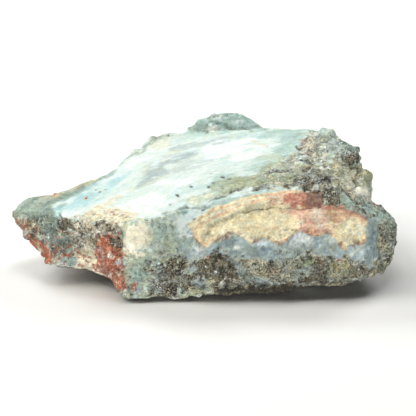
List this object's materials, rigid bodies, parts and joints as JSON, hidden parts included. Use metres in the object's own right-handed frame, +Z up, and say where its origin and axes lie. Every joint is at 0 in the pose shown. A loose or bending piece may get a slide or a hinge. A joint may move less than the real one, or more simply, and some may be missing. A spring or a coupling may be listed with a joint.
{
  "type": "rough larimar specimen",
  "caption": "Rough slab of blue-white larimar on grey-green host rock, with a rust column, a tan and brick-red crust, dark speckled pockets and an overhanging nose.",
  "frame": {"origin": "middle of the footprint, on the plane that the stone rests on", "axes": "+X to the right along the slab, +Y to its back, +Z up from the table through the smooth plate"},
  "size_m": [0.1198, 0.0906, 0.0325],
  "materials": {
    "larimar_and_host_rock": "satin on the larimar plate, matt and grainy on the broken rock"
  },
  "bodies": {
    "root": {"larimar_stone": "larimar_and_host_rock"}
  },
  "joints": []
}
